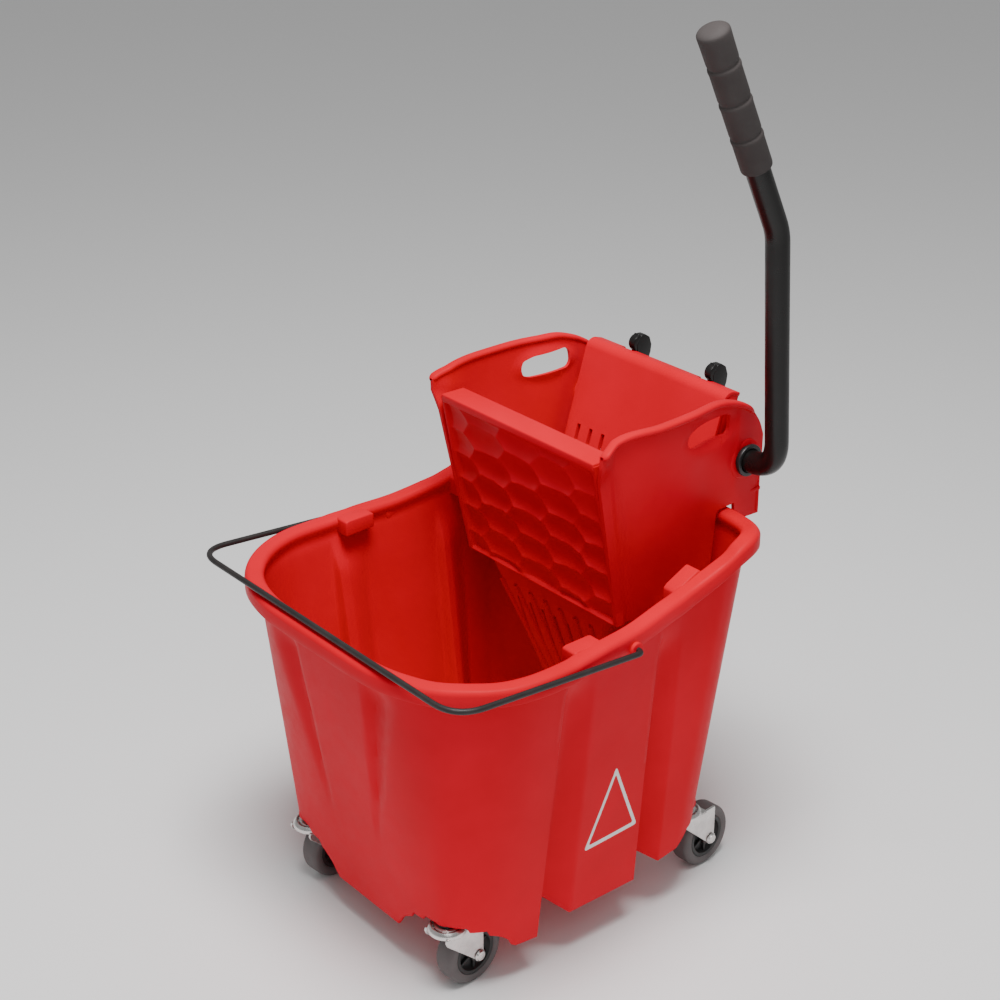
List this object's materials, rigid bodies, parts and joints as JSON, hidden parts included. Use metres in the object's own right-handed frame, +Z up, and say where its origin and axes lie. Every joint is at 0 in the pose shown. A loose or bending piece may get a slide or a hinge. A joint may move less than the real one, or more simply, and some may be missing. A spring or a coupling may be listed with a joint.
{
  "type": "mop bucket with wringer",
  "caption": "Rolling moulded bucket with a wire bail and a lift-off side-press wringer, whose tall lever turns a cross shaft that swings the press plate.",
  "frame": {"origin": "middle of the whole object in plan, on the floor under the wheels", "axes": "+Z up, -Y towards the free end of the bucket, +Y towards the wringer, +X towards the lever"},
  "size_m": [0.431, 0.4821, 0.9321],
  "materials": {
    "red_plastic": "satin moulded polypropylene",
    "black_plastic": "satin moulded nylon",
    "grip_plastic": "matte, lightly grained",
    "grey_tread": "smooth non-marking rubber",
    "zinc_plate": "bright zinc plating",
    "plain_steel": "drawn steel",
    "black_paint": "satin black powder coat",
    "dark_wire": "dark grey coated wire"
  },
  "bodies": {
    "bucket": {"bucket_shell": "red_plastic", "caster_socket_front_right": "black_plastic", "caster_stem_front_right": "zinc_plate", "caster_socket_front_left": "black_plastic", "caster_stem_front_left": "zinc_plate", "caster_socket_rear_right": "black_plastic", "caster_stem_rear_right": "zinc_plate", "caster_socket_rear_left": "black_plastic", "caster_stem_rear_left": "zinc_plate"},
    "fork_front_right": {"caster_fork_front_right": "zinc_plate", "axle_bolt_front_right": "zinc_plate", "axle_nut_front_right": "zinc_plate"},
    "wheel_front_right": {"wheel_tread_front_right": "grey_tread", "wheel_hub_front_right": "black_plastic"},
    "fork_front_left": {"caster_fork_front_left": "zinc_plate", "axle_bolt_front_left": "zinc_plate", "axle_nut_front_left": "zinc_plate"},
    "wheel_front_left": {"wheel_tread_front_left": "grey_tread", "wheel_hub_front_left": "black_plastic"},
    "fork_rear_right": {"caster_fork_rear_right": "zinc_plate", "axle_bolt_rear_right": "zinc_plate", "axle_nut_rear_right": "zinc_plate"},
    "wheel_rear_right": {"wheel_tread_rear_right": "grey_tread", "wheel_hub_rear_right": "black_plastic"},
    "fork_rear_left": {"caster_fork_rear_left": "zinc_plate", "axle_bolt_rear_left": "zinc_plate", "axle_nut_rear_left": "zinc_plate"},
    "wheel_rear_left": {"wheel_tread_rear_left": "grey_tread", "wheel_hub_rear_left": "black_plastic"},
    "bail": {"bail_wire": "dark_wire"},
    "wringer": {"wringer_frame": "red_plastic", "drain_hopper": "red_plastic", "plate_hinge_pin": "plain_steel", "shaft_bush": "black_plastic", "shaft_cap": "black_plastic", "return_spring_right": "plain_steel", "return_spring_left": "plain_steel"},
    "press_plate": {"press_plate": "red_plastic"},
    "lever": {"lever_tube": "black_paint", "lever_grip": "grip_plastic", "torque_shaft": "plain_steel", "crank_arm_right": "black_paint", "crank_arm_left": "black_paint"}
  },
  "joints": [
    {"name": "wringer_lift", "type": "slide", "parent": "bucket", "child": "wringer", "axis": [0, 0, 1], "range_m": [0, 0.28]},
    {"name": "lever_hinge", "type": "hinge", "parent": "wringer", "child": "lever", "pos_m": [0, 0.21, 0.473], "axis": [1, 0, 0], "range_deg": [0, 76], "stiffness_Nm_per_rad": 2, "springref_deg": -34.38},
    {"name": "plate_hinge", "type": "hinge", "parent": "wringer", "child": "press_plate", "pos_m": [0, 0.1425, 0.344], "axis": [1, 0, 0], "range_deg": [0, 23.2]},
    {"name": "bail_hinge", "type": "hinge", "parent": "bucket", "child": "bail", "pos_m": [0, -0.011, 0.366], "axis": [-1, 0, 0], "range_deg": [0, 100]},
    {"name": "swivel_front_right", "type": "hinge", "parent": "bucket", "child": "fork_front_right", "pos_m": [0.118, -0.174, 0.06], "axis": [0, 0, 1], "continuous": true},
    {"name": "roll_front_right", "type": "hinge", "parent": "fork_front_right", "child": "wheel_front_right", "pos_m": [0.11556, -0.14611, 0.035], "axis": [0.9962, 0.0872, 0], "continuous": true},
    {"name": "swivel_front_left", "type": "hinge", "parent": "bucket", "child": "fork_front_left", "pos_m": [-0.118, -0.174, 0.06], "axis": [0, 0, 1], "continuous": true},
    {"name": "roll_front_left", "type": "hinge", "parent": "fork_front_left", "child": "wheel_front_left", "pos_m": [-0.12044, -0.14611, 0.035], "axis": [0.9962, 0.0872, 0], "continuous": true},
    {"name": "swivel_rear_right", "type": "hinge", "parent": "bucket", "child": "fork_rear_right", "pos_m": [0.118, 0.148, 0.06], "axis": [0, 0, 1], "continuous": true},
    {"name": "roll_rear_right", "type": "hinge", "parent": "fork_rear_right", "child": "wheel_rear_right", "pos_m": [0.11556, 0.17589, 0.035], "axis": [0.9962, 0.0872, 0], "continuous": true},
    {"name": "swivel_rear_left", "type": "hinge", "parent": "bucket", "child": "fork_rear_left", "pos_m": [-0.118, 0.148, 0.06], "axis": [0, 0, 1], "continuous": true},
    {"name": "roll_rear_left", "type": "hinge", "parent": "fork_rear_left", "child": "wheel_rear_left", "pos_m": [-0.12044, 0.17589, 0.035], "axis": [0.9962, 0.0872, 0], "continuous": true}
  ],
  "couplings": [
    {"joint": "plate_hinge", "follows": "lever_hinge", "ratio": 0.305}
  ]
}
